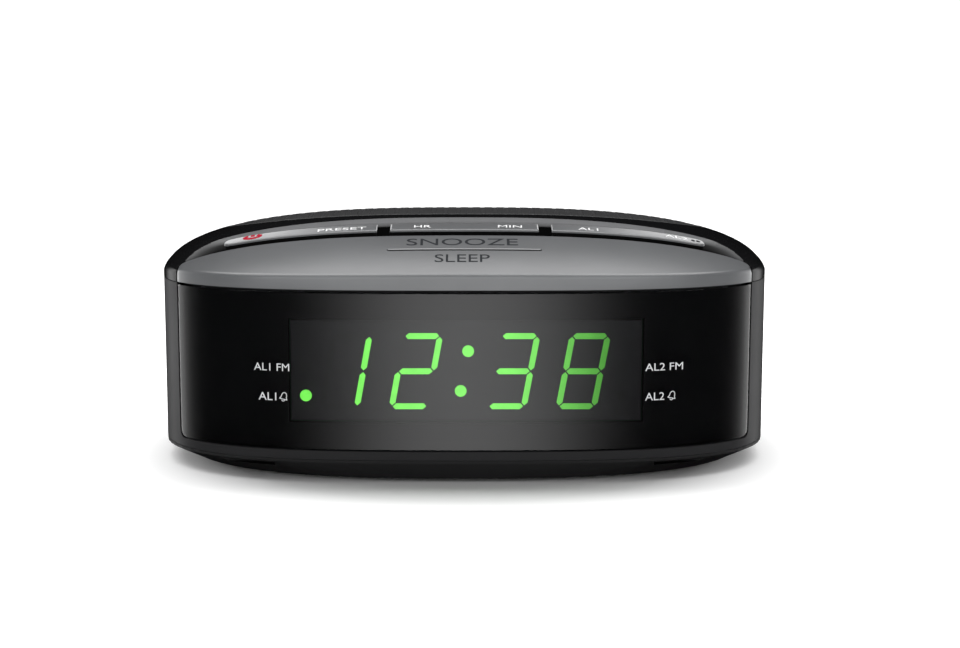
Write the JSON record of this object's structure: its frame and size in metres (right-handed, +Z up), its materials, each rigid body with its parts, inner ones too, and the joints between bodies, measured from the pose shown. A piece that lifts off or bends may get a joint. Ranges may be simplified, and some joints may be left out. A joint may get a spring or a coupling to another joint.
{
  "type": "digital clock radio",
  "caption": "Bedside clock radio with a domed top, wraparound dark front lens, slanted green digits, full-width snooze bar and rocker keys behind it.",
  "frame": {"origin": "on the table under the middle of the case, at the bottom of the feet", "axes": "+X to the right seen from the front, -Y is the front, +Z up"},
  "size_m": [0.18, 0.11, 0.0727],
  "materials": {
    "gloss_black": "gloss",
    "satin_black": "satin",
    "dark_lens": "polished dark tint",
    "snooze_grey": "satin metallic paint",
    "key_grey": "satin metallic paint",
    "display_face": "matt",
    "led_green": "lit",
    "pcb": "solder mask",
    "steel": "plain",
    "ivory": "moulded",
    "rubber": "matt",
    "silicone": "translucent",
    "paper_cone": "pressed paper",
    "black_part": "moulded",
    "cell_wrap": "printed sleeve"
  },
  "bodies": {
    "case": {"top_cover": "gloss_black", "speaker_grille": "satin_black", "mid_housing": "satin_black", "base_pan": "satin_black", "front_lens": "dark_lens", "display_module": "display_face", "digits_lit": "led_green", "digits_unlit": "display_face", "indicator_dots": "led_green", "display_board": "pcb", "main_board": "pcb", "key_board": "pcb", "snooze_pads": "silicone", "key_pivot_pins": "steel", "key_pads": "silicone", "speaker_frame": "steel", "speaker_magnet": "steel", "speaker_cone": "paper_cone", "speaker_dust_cap": "paper_cone", "speaker_screws": "steel", "dc_jack": "black_part", "dc_pin": "steel", "backup_cells": "cell_wrap", "battery_contacts": "steel", "rubber_feet": "rubber", "case_screws": "steel", "cover_screws": "steel", "key_board_screws": "steel", "main_board_screws": "steel", "display_board_screws": "steel", "tuner_shield": "steel", "chips": "black_part", "capacitors": "black_part", "crystal": "steel", "connectors": "ivory", "display_ribbon": "black_part", "key_ribbon": "black_part", "speaker_leads": "black_part", "jack_leads": "black_part"},
    "snooze_bar": {"snooze_key": "snooze_grey"},
    "left_key": {"key_left": "key_grey"},
    "centre_key": {"key_centre": "key_grey"},
    "right_key": {"key_right": "key_grey"},
    "battery_cover": {"battery_door": "satin_black"}
  },
  "joints": [
    {"name": "snooze_press", "type": "slide", "parent": "case", "child": "snooze_bar", "axis": [0, 0, -1], "range_m": [0, 0.0005], "stiffness_N_per_m": 900, "springref_m": -0.0005, "deforming": ["snooze_pads"]},
    {"name": "left_key_rock", "type": "hinge", "parent": "case", "child": "left_key", "pos_m": [-0.0473, -0.0289, 0.0596], "axis": [0, 1, 0], "range_deg": [-1.4, 1.4], "stiffness_Nm_per_rad": 1.5, "deforming": ["key_pads"]},
    {"name": "centre_key_rock", "type": "hinge", "parent": "case", "child": "centre_key", "pos_m": [0, -0.0289, 0.0612], "axis": [0, 1, 0], "range_deg": [-1.4, 1.4], "stiffness_Nm_per_rad": 1.5, "deforming": ["key_pads"]},
    {"name": "right_key_rock", "type": "hinge", "parent": "case", "child": "right_key", "pos_m": [0.0473, -0.0289, 0.0596], "axis": [0, 1, 0], "range_deg": [-1.4, 1.4], "stiffness_Nm_per_rad": 1.5, "deforming": ["key_pads"]},
    {"name": "battery_door_slide", "type": "slide", "parent": "case", "child": "battery_cover", "axis": [0, 1, 0], "range_m": [0, 0.034]}
  ]
}
